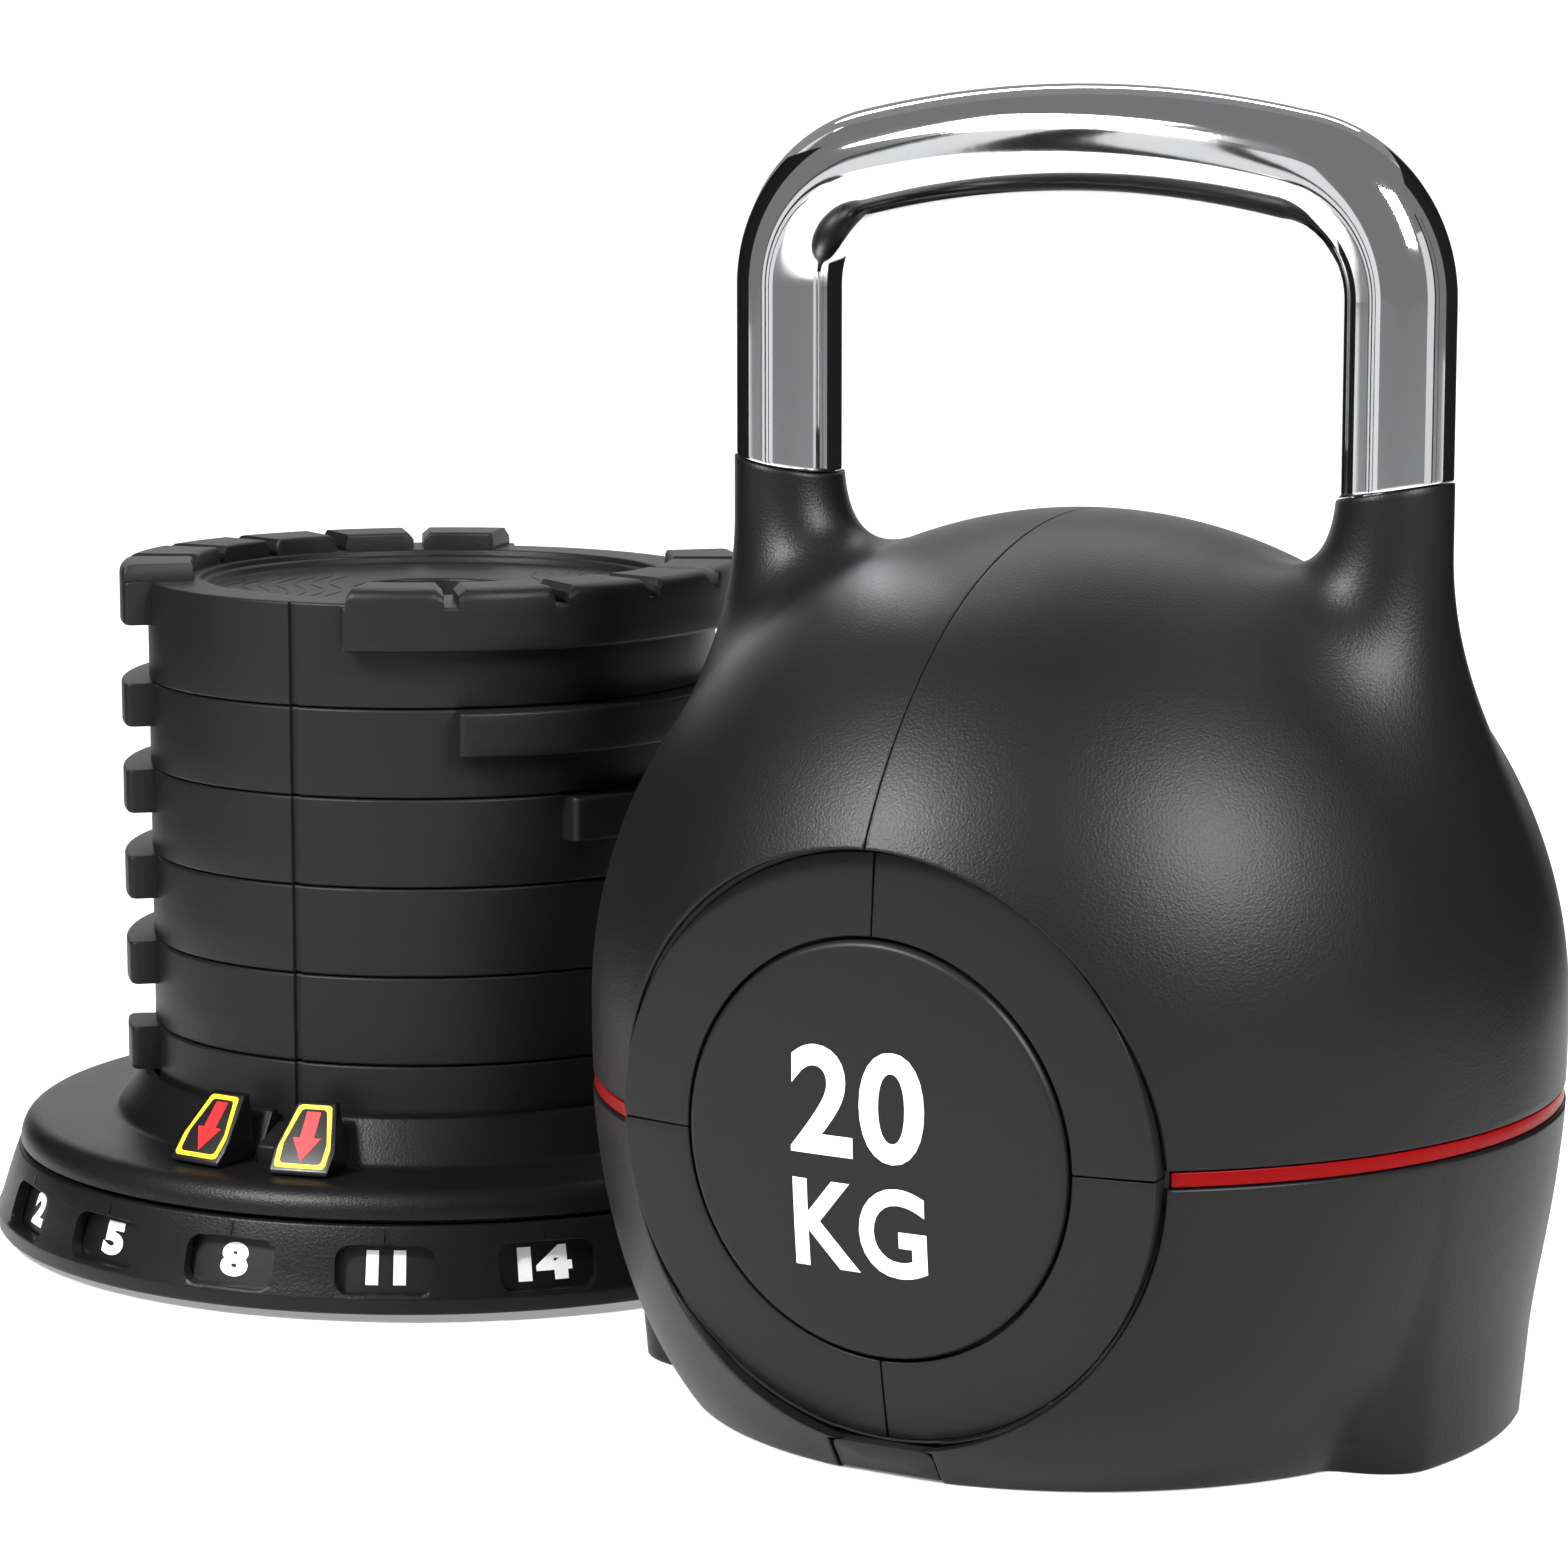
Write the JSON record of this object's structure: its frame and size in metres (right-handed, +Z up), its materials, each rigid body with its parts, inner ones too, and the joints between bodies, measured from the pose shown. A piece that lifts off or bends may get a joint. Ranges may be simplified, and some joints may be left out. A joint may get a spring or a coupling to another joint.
{
  "type": "adjustable kettlebell",
  "caption": "Adjustable kettlebell: chrome handle and hollow black body, standing beside its stack of lugged weight plates on a twist-select dock.",
  "frame": {"origin": "on the floor under the middle of the dock, at the axis of the plate stack", "axes": "+Z up, -Y towards the dock's front; the kettlebell stands at +X -Y, its handle turned 30.2 degrees clockwise from above"},
  "size_m": [0.4416, 0.4529, 0.3415],
  "materials": {
    "textured_shell": "fine spark-textured black ABS",
    "satin_disc": "satin black ABS",
    "plate_black": "black plastic skin over an iron core",
    "number_black": "smooth black with printed marks",
    "red_band": "dark red moulded strip",
    "chrome_bar": "polished chrome plate",
    "zinc_steel": "zinc plated",
    "white_acetal": "plain white acetal",
    "black_rubber": "matte"
  },
  "bodies": {
    "dock": {"dock_tray": "textured_shell", "dial_ring": "textured_shell", "number_band": "number_black", "turntable_bearing": "white_acetal", "centre_foot": "black_rubber", "dock_foot_1": "black_rubber", "dock_foot_2": "black_rubber", "dock_foot_3": "black_rubber", "dock_foot_4": "black_rubber"},
    "turntable": {"turntable": "textured_shell", "arrow_block_left": "number_black", "arrow_block_right": "number_black"},
    "lock_key": {"lock_key": "satin_disc"},
    "plate_6": {"plate_6": "plate_black"},
    "plate_5": {"plate_5": "plate_black"},
    "plate_4": {"plate_4": "plate_black"},
    "plate_3": {"plate_3": "plate_black"},
    "plate_2": {"plate_2": "plate_black"},
    "plate_1": {"plate_1": "plate_black"},
    "kettlebell": {"handle": "chrome_bar", "handle_bridge": "zinc_steel", "handle_bolt_right": "zinc_steel", "handle_bolt_left": "zinc_steel", "shell_upper_right": "textured_shell", "shell_upper_left": "textured_shell", "shell_lower_right": "textured_shell", "shell_lower_left": "textured_shell", "red_band_right": "red_band", "red_band_left": "red_band", "front_ring_1": "satin_disc", "front_ring_2": "satin_disc", "front_ring_3": "satin_disc", "front_ring_4": "satin_disc", "rear_ring_1": "satin_disc", "rear_ring_2": "satin_disc", "rear_ring_3": "satin_disc", "rear_ring_4": "satin_disc", "front_badge": "satin_disc", "rear_badge": "satin_disc", "front_pointer": "satin_disc", "lifting_rack_right": "zinc_steel", "lifting_rack_left": "zinc_steel"}
  },
  "joints": [
    {"name": "turntable_turn", "type": "hinge", "parent": "dock", "child": "turntable", "pos_m": [0, 0, 0.0275], "axis": [0, 0, 1], "range_deg": [-38, 83.8]},
    {"name": "lock_key_press", "type": "slide", "parent": "turntable", "child": "lock_key", "axis": [0, 0, -1], "range_m": [0, 0.004], "stiffness_N_per_m": 300, "springref_m": -0.001},
    {"name": "plate_6_lift", "type": "slide", "parent": "dock", "child": "plate_6", "axis": [0, 0, 1], "range_m": [0, 0.03]},
    {"name": "plate_5_lift", "type": "slide", "parent": "plate_6", "child": "plate_5", "axis": [0, 0, 1], "range_m": [0, 0.03]},
    {"name": "plate_4_lift", "type": "slide", "parent": "plate_5", "child": "plate_4", "axis": [0, 0, 1], "range_m": [0, 0.03]},
    {"name": "plate_3_lift", "type": "slide", "parent": "plate_4", "child": "plate_3", "axis": [0, 0, 1], "range_m": [0, 0.03]},
    {"name": "plate_2_lift", "type": "slide", "parent": "plate_3", "child": "plate_2", "axis": [0, 0, 1], "range_m": [0, 0.03]},
    {"name": "plate_1_lift", "type": "slide", "parent": "plate_2", "child": "plate_1", "axis": [0, 0, 1], "range_m": [0, 0.03]},
    {"name": "kettlebell_lift", "type": "slide", "parent": "dock", "child": "kettlebell", "axis": [0, 0, 1], "range_m": [0, 0.3]}
  ]
}
